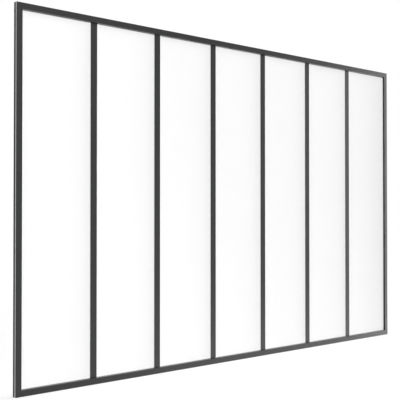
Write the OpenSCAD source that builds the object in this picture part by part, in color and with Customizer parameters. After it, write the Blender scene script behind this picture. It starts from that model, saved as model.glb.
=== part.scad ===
// Interior glass partition: a slim aluminium frame, tall panes and vertical mullions.
// The origin is the middle of the bottom rail's underside, +Z is up and the front faces -Y.

/* [Overall] */
// Width over the outer frame
overall_w = 2130; // [1200:10:3600]
// Height over the outer frame
overall_h = 1330; // [700:10:2600]
// Number of panes side by side
pane_count = 7; // [2:1:12]

/* [Outer frame] */
// Width of the frame's front face
frame_face = 22; // [20:0.5:30]
// Wall of the frame's hollow section
frame_wall = 1.6; // [1.2:0.1:1.8]
// Frame's outer side to the floor of the glass rebate
rebate_floor = 10; // [9:0.5:12]
// Frame's front to the back of the lip before the glass
lip_depth = 9; // [8:0.5:9.5]

/* [Perimeter groove] */
// Thickness of the front wall before the groove
groove_front = 3.3; // [1.6:0.1:4]
// Width of the groove, front to back
groove_w = 5; // [4:0.5:7]
// Depth of the groove from the outer side
groove_depth = 3; // [2:0.5:4]
// Set-back of the sealing strip from the outer side
seal_setback = 0.3; // [0:0.1:1]

/* [Mullions] */
// Width of the flange before the glass
mullion_face = 28; // [26:0.5:40]
// Thickness of the flange
flange_t = 1.4; // [1:0.1:2]
// Width of the web between two panes
web_w = 6; // [5:0.5:8]
// Wall of the hollow web
web_wall = 1.5; // [1.2:0.1:1.8]

/* [Glass] */
// Thickness of the glass
glass_t = 4; // [3:0.5:8]
// Clearance round a pane's edges
edge_gap = 2; // [1:0.5:3]
// Length of a setting block under a pane
block_l = 30; // [15:5:60]

/* [Gaskets] */
// Thickness of a glazing gasket
gasket_t = 1; // [0.8:0.1:1.2]
// Set-back of a gasket behind the edge of the metal beside it
gasket_setback = 0.6; // [0.2:0.1:1]

/* [Beads and covers] */
// Depth of the top and bottom beads, front to back
bead_depth = 4.5; // [3.5:0.5:12]
// Wall of the bead sections
bead_wall = 1.2; // [1:0.1:1.5]
// Thickness of the rib that a bead clips over
clip_rib_t = 0.8; // [0.6:0.1:1]
// Height of that rib above the rebate's floor
clip_rib_h = 0.9; // [0.6:0.1:1.5]
// Reach of the side beads and mullion covers over a pane's edge
cover_bite = 3; // [2:0.5:5]
// Thickness of a mullion's cover
cover_t = 1.4; // [1.2:0.1:2]

/* [Edges, corners and holes] */
// Radius of the outer edges of the metal sections
edge_r = 0.5; // [0.3:0.1:0.6]
// Diameter of the fixing holes
fixing_hole_d = 5; // [4:0.5:5.5]
// Frame's corner to the nearest fixing hole
hole_end = 165; // [60:5:300]
// Fine open line of a mitred corner
mitre_line = 0.2; // [0.1:0.05:0.4]

/* [Hidden] */
$fn = 32;
mullion_count = pane_count - 1;

frame_colour = [0.22, 0.22, 0.23];
bead_colour = [0.25, 0.25, 0.26];
seal_colour = [0.66, 0.66, 0.65];
gasket_colour = [0.06, 0.06, 0.06];
block_colour = [0.12, 0.12, 0.12];
glass_colour = [0.92, 0.96, 0.95, 0.3];

opening_w = overall_w - 2 * frame_face;
opening_h = overall_h - 2 * frame_face;
mullion_pitch = opening_w / pane_count;
glass_front = lip_depth + gasket_t;
glass_back = glass_front + glass_t;
bead_front = glass_back + gasket_t;
frame_depth = bead_front + bead_depth;
front_y = -frame_depth / 2;
clip_play = 0.1;
rib_front = bead_front + bead_wall + clip_play;
rib_back = rib_front + clip_rib_t;
side_bead_back = rib_back + clip_play + bead_wall;
cover_w = web_w + 2 * (edge_gap + cover_bite);
groove_back = groove_front + groove_w;
rear_chamber_front = max(groove_back, lip_depth) + frame_wall;
rear_chamber_back = frame_depth - frame_wall;
fixing_hole_depth = (rear_chamber_front + rib_front) / 2;
pane_low = rebate_floor + edge_gap;
pane_high = overall_h - pane_low;
holes_per_bar = 4;
overcut = 1;

// Middle of a mullion, and the edges of the panes and of their clear sight
function mullion_x(i) = (i - pane_count / 2) * mullion_pitch;
function pane_left(i) = i == 1 ? rebate_floor + edge_gap - overall_w / 2
    : mullion_x(i - 1) + web_w / 2 + edge_gap;
function pane_right(i) = -pane_left(pane_count + 1 - i);
function sight_left(i) = i == 1 ? -opening_w / 2 : mullion_x(i - 1) + mullion_face / 2;
function sight_right(i) = -sight_left(pane_count + 1 - i);

// Every profile is drawn with its depth behind the frame's front along X.
// On a frame's section, Y is the distance in from the frame's outer side.

// A rectangle between two corners
module area(low, high) {
    translate(low) square(high - low);
}

// Takes the sharp corner off a profile and lays a round edge in its place
module round_edge(corner, inward) {
    centre = corner + edge_r * inward;
    difference() {
        children();
        polygon([corner - overcut * inward, [corner.x - overcut * inward.x, centre.y],
                 centre, [centre.x, corner.y - overcut * inward.y]]);
    }
    translate(centre) circle(r = edge_r);
}

module frame_section() {
    difference() {
        union() {
            round_edge([0, 0], [1, 1])
                round_edge([0, frame_face], [1, -1])
                    area([0, 0], [lip_depth, frame_face]);
            round_edge([frame_depth, 0], [-1, 1])
                area([groove_front, 0], [frame_depth, rebate_floor]);
            area([rib_front, rebate_floor - overcut], [rib_back, rebate_floor + clip_rib_h]);
        }
        area([groove_front, -overcut], [groove_back, groove_depth]);
        area([frame_wall, groove_depth + frame_wall], [lip_depth - frame_wall, frame_face - frame_wall]);
        area([rear_chamber_front, frame_wall], [rear_chamber_back, rebate_floor - frame_wall]);
    }
}

// Open towards the rebate's floor, where its front leg clips before the rib
module rail_bead_section() {
    difference() {
        round_edge([frame_depth, frame_face], [-1, -1])
            area([bead_front, rebate_floor], [frame_depth, frame_face]);
        area([bead_front + bead_wall, rebate_floor - overcut],
             [frame_depth - bead_wall, frame_face - bead_wall]);
    }
}

// A tall front leg holds the glass, and a low channel behind it clips over the rib
module side_bead_section() {
    leg_back = bead_front + bead_wall;
    leg_top = pane_low + cover_bite;
    channel_top = rebate_floor + clip_rib_h + clip_play;
    round_edge([leg_back, leg_top], [-1, -1])
        area([bead_front, rebate_floor], [leg_back, leg_top]);
    difference() {
        round_edge([side_bead_back, channel_top + bead_wall], [-1, -1])
            area([bead_front, rebate_floor], [side_bead_back, channel_top + bead_wall]);
        area([leg_back, rebate_floor - overcut], [side_bead_back - bead_wall, channel_top]);
    }
}

module seal_section() {
    area([groove_front, seal_setback], [groove_back, groove_depth]);
}

// A profile laid along X with square ends
module straight_bar(length) {
    translate([-length / 2, front_y, 0])
        rotate([90, 0, 90]) linear_extrude(length) children();
}

// The same, mitred at both ends from the frame's outer corners
module mitred_bar(length) {
    half_length = (length - mitre_line * sqrt(2)) / 2;
    intersection() {
        straight_bar(2 * half_length) children();
        rotate([90, 0, 0]) linear_extrude(2 * frame_depth, center = true)
            polygon([[-half_length, 0], [half_length, 0],
                     [half_length - frame_face, frame_face],
                     [frame_face - half_length, frame_face]]);
    }
}

module at_top() {
    translate([0, 0, overall_h]) mirror([0, 0, 1]) children();
}

module at_left() {
    translate([-overall_w / 2, 0, overall_h / 2]) rotate([0, 90, 0]) children();
}

module at_right() {
    mirror([1, 0, 0]) at_left() children();
}

// A frame member with evenly spaced fixing holes from its outer side into the rebate
module frame_bar(length) {
    hole_gap = (length - 2 * hole_end) / (holes_per_bar - 1);
    color(frame_colour) difference() {
        mitred_bar(length) frame_section();
        for (i = [0:holes_per_bar - 1])
            translate([hole_end - length / 2 + i * hole_gap, front_y + fixing_hole_depth, -overcut])
                cylinder(h = rebate_floor + 2 * overcut, d = fixing_hole_d);
    }
}

// The top and bottom beads run between the ribs of the stiles
module rail_bead() {
    color(bead_colour)
        straight_bar(overall_w - 2 * (rebate_floor + clip_rib_h + clip_play)) rail_bead_section();
}

// The side beads stand between the top and bottom beads
module side_bead() {
    color(bead_colour) straight_bar(opening_h) side_bead_section();
}

module seal_bar(length) {
    color(seal_colour) mitred_bar(length) seal_section();
}

module top_rail() {
    at_top() frame_bar(overall_w);
}

module bottom_rail() {
    frame_bar(overall_w);
}

module left_stile() {
    at_left() frame_bar(overall_h);
}

module right_stile() {
    at_right() frame_bar(overall_h);
}

module top_bead() {
    at_top() rail_bead();
}

module bottom_bead() {
    rail_bead();
}

module left_bead() {
    at_left() side_bead();
}

module right_bead() {
    at_right() side_bead();
}

module top_seal() {
    at_top() seal_bar(overall_w);
}

module bottom_seal() {
    seal_bar(overall_w);
}

module left_seal() {
    at_left() seal_bar(overall_h);
}

module right_seal() {
    at_right() seal_bar(overall_h);
}

// An upright profile, drawn with depth along X and centred on its own middle
module upright(x, low, high) {
    translate([x, front_y, low]) linear_extrude(high - low)
        rotate(90) mirror([0, 1]) children();
}

module flange_section() {
    round_edge([lip_depth - flange_t, -mullion_face / 2], [1, 1])
        round_edge([lip_depth - flange_t, mullion_face / 2], [1, -1])
            area([lip_depth - flange_t, -mullion_face / 2], [lip_depth, mullion_face / 2]);
}

module web_section() {
    difference() {
        area([lip_depth - flange_t / 2, -web_w / 2], [bead_front, web_w / 2]);
        area([lip_depth + web_wall, web_wall - web_w / 2],
             [bead_front - web_wall, web_w / 2 - web_wall]);
    }
}

// The flange ends at the lips of the rails, and the web stands on the rebate's floor
module mullion(i) {
    color(frame_colour) {
        upright(mullion_x(i), frame_face, overall_h - frame_face) flange_section();
        upright(mullion_x(i), rebate_floor, overall_h - rebate_floor) web_section();
    }
}

// A flat strip on the back of the web
module cover_section() {
    cover_back = bead_front + cover_t;
    round_edge([cover_back, -cover_w / 2], [-1, 1])
        round_edge([cover_back, cover_w / 2], [-1, -1])
            area([bead_front, -cover_w / 2], [cover_back, cover_w / 2]);
}

module mullion_cover(i) {
    color(bead_colour) upright(mullion_x(i), frame_face, overall_h - frame_face) cover_section();
}

module glass_pane(i) {
    color(glass_colour) translate([pane_left(i), front_y + glass_front, pane_low])
        cube([pane_right(i) - pane_left(i), glass_t, pane_high - pane_low]);
}

// A flat ring on one side of a pane, from the pane's edges to near the metal's edges
module gasket_ring(i, depth, metal_left, metal_right) {
    inner_low = [metal_left - gasket_setback, frame_face - gasket_setback];
    inner_high = [metal_right + gasket_setback, overall_h - inner_low.y];
    translate([0, front_y + depth + gasket_t, 0]) rotate([90, 0, 0]) linear_extrude(gasket_t)
        difference() {
            area([pane_left(i), pane_low], [pane_right(i), pane_high]);
            area(inner_low, inner_high);
        }
}

module gasket(i) {
    color(gasket_colour) {
        gasket_ring(i, lip_depth, sight_left(i), sight_right(i));
        gasket_ring(i, glass_back, pane_left(i) + cover_bite, pane_right(i) - cover_bite);
    }
}

// Two blocks under each pane carry it on the rebate's floor
module setting_blocks() {
    for (i = [1:pane_count], share = [0.25, 0.75])
        color(block_colour)
            translate([pane_left(i) + share * (pane_right(i) - pane_left(i)) - block_l / 2,
                       front_y + glass_front, rebate_floor])
                cube([block_l, glass_t, edge_gap]);
}

for (i = [1:mullion_count]) {
    mullion(i);
    mullion_cover(i);
}
for (i = [1:pane_count]) {
    glass_pane(i);
    gasket(i);
}
top_rail();
bottom_rail();
left_stile();
right_stile();
setting_blocks();
top_bead();
bottom_bead();
left_bead();
right_bead();
top_seal();
bottom_seal();
left_seal();
right_seal();
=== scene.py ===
import math

import bpy
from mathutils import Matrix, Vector


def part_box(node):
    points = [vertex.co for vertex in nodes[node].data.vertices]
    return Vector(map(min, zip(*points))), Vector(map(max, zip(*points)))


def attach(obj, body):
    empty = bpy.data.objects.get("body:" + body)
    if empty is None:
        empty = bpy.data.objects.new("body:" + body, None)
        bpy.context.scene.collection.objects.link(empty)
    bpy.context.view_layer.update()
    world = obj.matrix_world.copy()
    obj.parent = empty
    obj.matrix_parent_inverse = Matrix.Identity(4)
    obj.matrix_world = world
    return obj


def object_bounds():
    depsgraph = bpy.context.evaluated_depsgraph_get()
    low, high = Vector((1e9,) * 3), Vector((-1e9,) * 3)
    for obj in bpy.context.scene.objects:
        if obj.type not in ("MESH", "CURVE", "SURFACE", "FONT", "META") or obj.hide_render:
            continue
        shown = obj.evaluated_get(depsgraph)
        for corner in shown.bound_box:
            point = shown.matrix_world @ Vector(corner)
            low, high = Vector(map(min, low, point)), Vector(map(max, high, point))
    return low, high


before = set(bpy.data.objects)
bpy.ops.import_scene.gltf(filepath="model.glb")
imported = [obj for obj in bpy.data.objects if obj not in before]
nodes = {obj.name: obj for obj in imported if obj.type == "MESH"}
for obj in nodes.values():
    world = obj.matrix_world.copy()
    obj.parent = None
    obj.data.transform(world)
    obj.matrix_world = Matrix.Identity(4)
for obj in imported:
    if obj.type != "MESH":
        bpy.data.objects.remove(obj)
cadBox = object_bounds()
scene = bpy.context.scene
bpy.ops.object.select_all(action="DESELECT")
print("frame loaded:", len(nodes), "CAD nodes")


def nodesNamed(word):
    return [node for name, node in nodes.items() if word in name]


# camera, set to the photo's view from the left

view = {
    "place": (-2.4721, -2.45475, 0.6204),  # metres, in front of the left end
    "turn": 42.517,  # degrees to the right of straight on
    "tilt": 0.855,  # degrees up
    "lens": 73.965,  # mm
    "sensor": 36,  # mm
    "farthest": 100,  # metres, past the floor's far edge
}


def addCamera():
    level = 90  # degrees, because an unturned camera looks down
    turned = (math.radians(level + view["tilt"]), 0, -math.radians(view["turn"]))
    bpy.ops.object.camera_add(location=view["place"], rotation=turned)
    camera = bpy.context.object
    camera.name = "photoCamera"
    camera.data.lens = view["lens"]
    camera.data.sensor_width = view["sensor"]
    camera.data.clip_end = view["farthest"]
    scene.camera = camera


addCamera()
print("camera placed")


# floor, world and lamps

studio = {
    "floorSize": 40.0,  # metres
    "floorColour": (0.60, 0.60, 0.60, 1),
    "floorGlow": (0.43, 0.67),  # what the camera sees beside the lit colour, near and far
    "floorReach": (0.9, 4.5),  # metres from the middle for near and far
    "worldLight": 0.56,  # what the world gives to the object
    "shades": (  # where the room is dimmer in reflections: direction, spread, how much dimmer
        ((0.84, -0.50, 0.25), 0.14, 0.85),
        ((-0.78, 0.60, 0.10), 0.45, 0.70),
        ((0.37, -0.93, 0.05), 0.05, 0.25),
    ),
    "lamps": (  # name, place, size, power, and words in the nodes' names if it lights only some
        ("keyLamp", (-2.5, -3.5, 3.2), (3.0, 3.0), 60, ()),
        ("sideLamp", (4.9, -1.4, 0.7), (1.6, 5.2), 160, ()),
        ("topLamp", (0.8, -0.9, 3.4), (3.0, 2.0), 40, ()),
        ("lowLamp", (3.6, -2.6, -1.2), (3.0, 1.2), 16, ("rail", "stile", "mullion")),
    ),
    # a soft sun from the right, almost along the panes, which only they catch, and which the frame
    # and the mullions shade: degrees from the panes' plane, above the floor, and from edge to edge
    "paneSun": {"aside": 4.5, "above": 5.0, "across": 8.0, "power": 12},
}


def newMaterial(name):
    material = bpy.data.materials.new(name)
    material.use_nodes = True
    tree = material.node_tree
    tree.nodes.clear()
    output = tree.nodes.new("ShaderNodeOutputMaterial")
    return material, tree, output


def join(tree, operation, first, second):
    # one Math node on two outputs
    node = tree.nodes.new("ShaderNodeMath")
    node.operation = operation
    tree.links.new(first, node.inputs[0])
    tree.links.new(second, node.inputs[1])
    return node.outputs[0]


def seenRay(tree):
    # 1 for what the camera sees straight, by reflection or through glass
    path = tree.nodes.new("ShaderNodeLightPath").outputs
    reflected = join(tree, "MAXIMUM", path["Is Camera Ray"], path["Is Glossy Ray"])
    return join(tree, "MAXIMUM", reflected, path["Is Transmission Ray"])


def floorGlow(tree):
    # for the camera alone, stronger with the distance from the object
    place = tree.nodes.new("ShaderNodeTexCoord")
    distance = tree.nodes.new("ShaderNodeVectorMath")
    distance.operation = "LENGTH"
    tree.links.new(place.outputs["Object"], distance.inputs[0])
    byDistance = tree.nodes.new("ShaderNodeMapRange")
    for end, reach, level in zip(("Min", "Max"), studio["floorReach"], studio["floorGlow"]):
        byDistance.inputs["From " + end].default_value = reach
        byDistance.inputs["To " + end].default_value = level
    tree.links.new(distance.outputs["Value"], byDistance.inputs["Value"])
    path = tree.nodes.new("ShaderNodeLightPath").outputs
    strength = join(tree, "MULTIPLY", byDistance.outputs["Result"], path["Is Camera Ray"])
    glow = tree.nodes.new("ShaderNodeEmission")
    tree.links.new(strength, glow.inputs["Strength"])
    return glow


def floorMaterial():
    # reflections, and what shows through glass, pass the floor and reach the white room
    material, tree, output = newMaterial("studioFloor")
    diffuse = tree.nodes.new("ShaderNodeBsdfDiffuse")
    diffuse.inputs["Color"].default_value = studio["floorColour"]
    lit = tree.nodes.new("ShaderNodeAddShader")
    tree.links.new(diffuse.outputs[0], lit.inputs[0])
    tree.links.new(floorGlow(tree).outputs[0], lit.inputs[1])
    path = tree.nodes.new("ShaderNodeLightPath").outputs
    passing = join(tree, "MAXIMUM", path["Is Glossy Ray"], path["Is Transmission Ray"])
    clear = tree.nodes.new("ShaderNodeBsdfTransparent")
    whole = tree.nodes.new("ShaderNodeMixShader")
    tree.links.new(passing, whole.inputs[0])
    tree.links.new(lit.outputs[0], whole.inputs[1])
    tree.links.new(clear.outputs[0], whole.inputs[2])
    tree.links.new(whole.outputs[0], output.inputs["Surface"])
    return material


def addFloor():
    bpy.ops.mesh.primitive_plane_add(size=studio["floorSize"], location=(0, 0, 0))
    floor = bpy.context.object
    floor.name = "studioFloor"
    floor.data.materials.append(floorMaterial())
    floor.select_set(False)


def shadeTowards(tree, aim, spread, dimming):
    # 1 away from the aim, and less by the dimming right at it
    way = tree.nodes.new("ShaderNodeTexCoord").outputs["Generated"]
    facing = tree.nodes.new("ShaderNodeVectorMath")
    facing.operation = "DOT_PRODUCT"
    facing.inputs[1].default_value = Vector(aim).normalized()
    tree.links.new(way, facing.inputs[0])
    dim = tree.nodes.new("ShaderNodeMapRange")
    dim.interpolation_type = "SMOOTHSTEP"
    dim.inputs["From Min"].default_value = 1 - spread
    dim.inputs["To Min"].default_value = 1
    dim.inputs["To Max"].default_value = 1 - dimming
    tree.links.new(facing.outputs["Value"], dim.inputs["Value"])
    return dim.outputs["Result"]


def reflectedLevel(tree):
    # white straight on and through glass, dimmer to some sides in reflections
    shades = [shadeTowards(tree, *shade) for shade in studio["shades"]]
    level = shades[0]
    for shade in shades[1:]:
        level = join(tree, "MULTIPLY", level, shade)
    path = tree.nodes.new("ShaderNodeLightPath").outputs
    reflected = tree.nodes.new("ShaderNodeMapRange")
    reflected.inputs["To Min"].default_value = 1
    tree.links.new(path["Glossy Depth"], reflected.inputs["Value"])
    tree.links.new(level, reflected.inputs["To Max"])
    return reflected.outputs["Result"]


def setWorld():
    world = bpy.data.worlds.new("studioWorld")
    scene.world = world
    world.use_nodes = True
    tree = world.node_tree
    background = tree.nodes["Background"]
    background.inputs["Color"].default_value = (1, 1, 1, 1)
    strength = tree.nodes.new("ShaderNodeMapRange")
    strength.inputs["To Min"].default_value = studio["worldLight"]
    tree.links.new(seenRay(tree), strength.inputs["Value"])
    tree.links.new(reflectedLevel(tree), strength.inputs["To Max"])
    tree.links.new(strength.outputs["Result"], background.inputs["Strength"])


def lightOnly(lamp, words):
    # light linking, to the nodes that have one of the words in their names
    reached = bpy.data.collections.new(lamp.name + "Reach")
    for word in words:
        for node in nodesNamed(word):
            reached.objects.link(node)
    lamp.light_linking.receiver_collection = reached


def addLamp(kind, name, place, direction, power, words):
    bpy.ops.object.light_add(type=kind, location=place,
                             rotation=direction.to_track_quat("-Z", "Y").to_euler())
    lamp = bpy.context.object
    lamp.name = name
    lamp.data.energy = power
    # its own shape shows neither straight on nor through the panes
    lamp.visible_camera = False
    lamp.visible_transmission = False
    lamp.select_set(False)
    if words:
        lightOnly(lamp, words)
    return lamp


def addPaneSun():
    sun = studio["paneSun"]
    aside, above = math.radians(sun["aside"]), math.radians(sun["above"])
    direction = Vector((-math.cos(above) * math.cos(aside), math.cos(above) * math.sin(aside),
                        -math.sin(above)))
    lamp = addLamp("SUN", "paneSun", (0, 0, 0), direction, sun["power"], ("glass_pane",))
    lamp.data.angle = math.radians(sun["across"])


def addStudioLamps():
    middle = Vector((0, 0, (cadBox[0][2] + cadBox[1][2]) / 2))
    for name, place, size, power, words in studio["lamps"]:
        lamp = addLamp("AREA", name, place, middle - Vector(place), power, words)
        lamp.data.shape = "RECTANGLE"
        lamp.data.size, lamp.data.size_y = size


addFloor()
setWorld()
addPaneSun()
addStudioLamps()
scene.view_settings.view_transform = "Standard"
print("studio lit")


# shared grain, from a fine noise for the surface and a broad one for the gloss

grainPattern = {
    "fineDetail": 2,
    "broadScale": 14,  # patches to a metre
    "broadDetail": 4,
    "middle": 0.5,  # what a noise gives on average
}


def newGroup(name, inputs, outputs):
    group = bpy.data.node_groups.new(name, "ShaderNodeTree")
    for label, value in inputs.items():
        socket = group.interface.new_socket(
            name=label, in_out="INPUT", socket_type="NodeSocketFloat")
        socket.default_value = value
    for label in outputs:
        group.interface.new_socket(
            name=label, in_out="OUTPUT", socket_type="NodeSocketFloat")
    return group, group.nodes.new("NodeGroupInput"), group.nodes.new("NodeGroupOutput")


def grainGroup():
    # fine pebbled grain of powder coat or moulded rubber, with a gloss that swings softly
    group, entry, leave = newGroup(
        "fineGrain", {"Grain": 900.0, "Roughness": 0.4, "Spread": 0.06}, ("Height", "Roughness"))
    place = group.nodes.new("ShaderNodeTexCoord").outputs["Object"]
    fine = group.nodes.new("ShaderNodeTexNoise")
    fine.inputs["Detail"].default_value = grainPattern["fineDetail"]
    group.links.new(place, fine.inputs["Vector"])
    group.links.new(entry.outputs["Grain"], fine.inputs["Scale"])
    group.links.new(fine.outputs["Fac"], leave.inputs["Height"])
    broad = group.nodes.new("ShaderNodeTexNoise")
    broad.inputs["Scale"].default_value = grainPattern["broadScale"]
    broad.inputs["Detail"].default_value = grainPattern["broadDetail"]
    group.links.new(place, broad.inputs["Vector"])
    centred = group.nodes.new("ShaderNodeMath")
    centred.operation = "SUBTRACT"
    centred.inputs[1].default_value = grainPattern["middle"]
    group.links.new(broad.outputs["Fac"], centred.inputs[0])
    swing = group.nodes.new("ShaderNodeMath")
    swing.operation = "MULTIPLY_ADD"
    group.links.new(centred.outputs[0], swing.inputs[0])
    group.links.new(entry.outputs["Spread"], swing.inputs[1])
    group.links.new(entry.outputs["Roughness"], swing.inputs[2])
    group.links.new(swing.outputs[0], leave.inputs["Roughness"])
    return group


fineGrain = grainGroup()


# materials of the pieces: grain is in pebbles to a metre, bump in metres

powderCoat = {"colour": (0.021, 0.021, 0.022, 1), "grain": 1100, "bump": 0.00002,
              "roughness": 0.30, "spread": 0.05}
rubber = {"colour": (0.012, 0.012, 0.012, 1), "grain": 600, "bump": 0.00005,
          "roughness": 0.55, "spread": 0.10}
sealStrip = {"colour": (0.80, 0.80, 0.79, 1), "grain": 700, "bump": 0.0002,
             "roughness": 0.7, "spread": 0.10}


def grainedMaterial(name, values):
    material, tree, output = newMaterial(name)
    grain = tree.nodes.new("ShaderNodeGroup")
    grain.node_tree = fineGrain
    grain.inputs["Grain"].default_value = values["grain"]
    grain.inputs["Roughness"].default_value = values["roughness"]
    grain.inputs["Spread"].default_value = values["spread"]
    bump = tree.nodes.new("ShaderNodeBump")
    bump.inputs["Distance"].default_value = values["bump"]
    tree.links.new(grain.outputs["Height"], bump.inputs["Height"])
    surface = tree.nodes.new("ShaderNodeBsdfPrincipled")
    surface.inputs["Base Color"].default_value = values["colour"]
    tree.links.new(bump.outputs["Normal"], surface.inputs["Normal"])
    tree.links.new(grain.outputs["Roughness"], surface.inputs["Roughness"])
    tree.links.new(surface.outputs[0], output.inputs["Surface"])
    return material


clearGlass = {"colour": (0.95, 0.95, 0.95, 1), "ior": 1.5, "clearness": 0.90}


def glassMaterial():
    # lamps shine through the pane, so its shadow stays light
    material, tree, output = newMaterial("clearGlass")
    glass = tree.nodes.new("ShaderNodeBsdfPrincipled")
    glass.inputs["Base Color"].default_value = clearGlass["colour"]
    glass.inputs["Roughness"].default_value = 0
    glass.inputs["IOR"].default_value = clearGlass["ior"]
    glass.inputs["Transmission Weight"].default_value = clearGlass["clearness"]
    through = tree.nodes.new("ShaderNodeBsdfTransparent")
    path = tree.nodes.new("ShaderNodeLightPath").outputs
    mix = tree.nodes.new("ShaderNodeMixShader")
    tree.links.new(path["Is Shadow Ray"], mix.inputs[0])
    tree.links.new(glass.outputs[0], mix.inputs[1])
    tree.links.new(through.outputs[0], mix.inputs[2])
    tree.links.new(mix.outputs[0], output.inputs["Surface"])
    return material


def finishNodes():
    coat = grainedMaterial("blackPowderCoat", powderCoat)
    finishes = {
        "rail": coat, "stile": coat, "mullion": coat, "bead": coat,
        "glass_pane": glassMaterial(),
        "gasket": grainedMaterial("gasketRubber", rubber),
        "setting_blocks": grainedMaterial("blockPlastic", rubber),
        "seal": grainedMaterial("softSealStrip", sealStrip),
    }
    for word, finish in finishes.items():
        for node in nodesNamed(word):
            node.data.materials.clear()
            node.data.materials.append(finish)


finishNodes()
print("finishes given")


# small screws that hold the covers on the mullions' backs

coverScrew = {
    "headRadius": 0.0030, "headHeight": 0.0017, "facets": 24,  # lengths in metres
    "crown": 0.0010, "crownSteps": 4,
    "smoothBelow": 35,  # degrees between faces
    "socketRadius": 0.00125, "socketDepth": 0.0010, "socketSides": 6,
    "perCover": 5, "endGap": 0.060,  # from a cover's end to its first screw
}
screwLacquer = {"colour": (0.024, 0.024, 0.025, 1), "grain": 2400, "bump": 0.00001,
                "roughness": 0.36, "spread": 0.12}


def onlySelect(*pieces):
    bpy.ops.object.select_all(action="DESELECT")
    for piece in pieces:
        piece.select_set(True)
    bpy.context.view_layer.objects.active = pieces[0]


def screwHead():
    # a button head with a hex socket, its seat at y 0 and its crown towards +Y
    towardsBack = (math.radians(-90), 0, 0)
    height = coverScrew["headHeight"]
    bpy.ops.object.select_all(action="DESELECT")
    bpy.ops.mesh.primitive_cylinder_add(
        vertices=coverScrew["facets"], radius=coverScrew["headRadius"], depth=height,
        location=(0, height / 2, 0), rotation=towardsBack)
    head = bpy.context.object
    bpy.ops.object.transform_apply(location=True, rotation=True, scale=True)
    bpy.ops.object.mode_set(mode="EDIT")
    bpy.ops.mesh.select_mode(type="FACE")
    bpy.ops.mesh.select_all(action="DESELECT")
    bpy.ops.object.mode_set(mode="OBJECT")
    nearlyStraight = 0.9  # the top face alone looks that much to the back
    for face in head.data.polygons:
        face.select = face.normal.y > nearlyStraight
    bpy.ops.object.mode_set(mode="EDIT")
    bpy.ops.mesh.region_to_loop()
    bpy.ops.mesh.bevel(offset=coverScrew["crown"], segments=coverScrew["crownSteps"],
                       affect="EDGES")
    bpy.ops.object.mode_set(mode="OBJECT")
    bpy.ops.mesh.primitive_cylinder_add(
        vertices=coverScrew["socketSides"], radius=coverScrew["socketRadius"],
        depth=2 * coverScrew["socketDepth"],  # half of it is above the head
        location=(0, height, 0), rotation=towardsBack)
    socket = bpy.context.object
    onlySelect(head)
    cut = head.modifiers.new("socket", "BOOLEAN")
    cut.operation = "DIFFERENCE"
    cut.object = socket
    bpy.ops.object.modifier_apply(modifier=cut.name)
    onlySelect(socket)
    bpy.ops.object.delete()
    onlySelect(head)
    bpy.ops.object.shade_smooth_by_angle(angle=math.radians(coverScrew["smoothBelow"]))
    return head


def screwOneCover(cover, head, finish):
    low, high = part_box(cover)
    first = low.z + coverScrew["endGap"]
    gap = (high.z - low.z - 2 * coverScrew["endGap"]) / (coverScrew["perCover"] - 1)
    heads = []
    for i in range(coverScrew["perCover"]):
        onlySelect(head)
        bpy.ops.object.duplicate()
        one = bpy.context.object
        one.location = ((low.x + high.x) / 2, high.y, first + i * gap)
        heads.append(one)
    onlySelect(*heads)
    bpy.ops.object.join()
    screws = bpy.context.object
    bpy.ops.object.transform_apply(location=True, rotation=True, scale=True)
    screws.name = "coverScrews" + cover.rsplit("_", 1)[1]
    screws.data.materials.clear()
    screws.data.materials.append(finish)
    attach(screws, "root")


def screwCovers():
    head = screwHead()
    finish = grainedMaterial("screwLacquer", screwLacquer)
    for name in sorted(nodes):
        if name.startswith("mullion_cover"):
            screwOneCover(name, head, finish)
    onlySelect(head)
    bpy.ops.object.delete()


screwCovers()
print("covers screwed on")
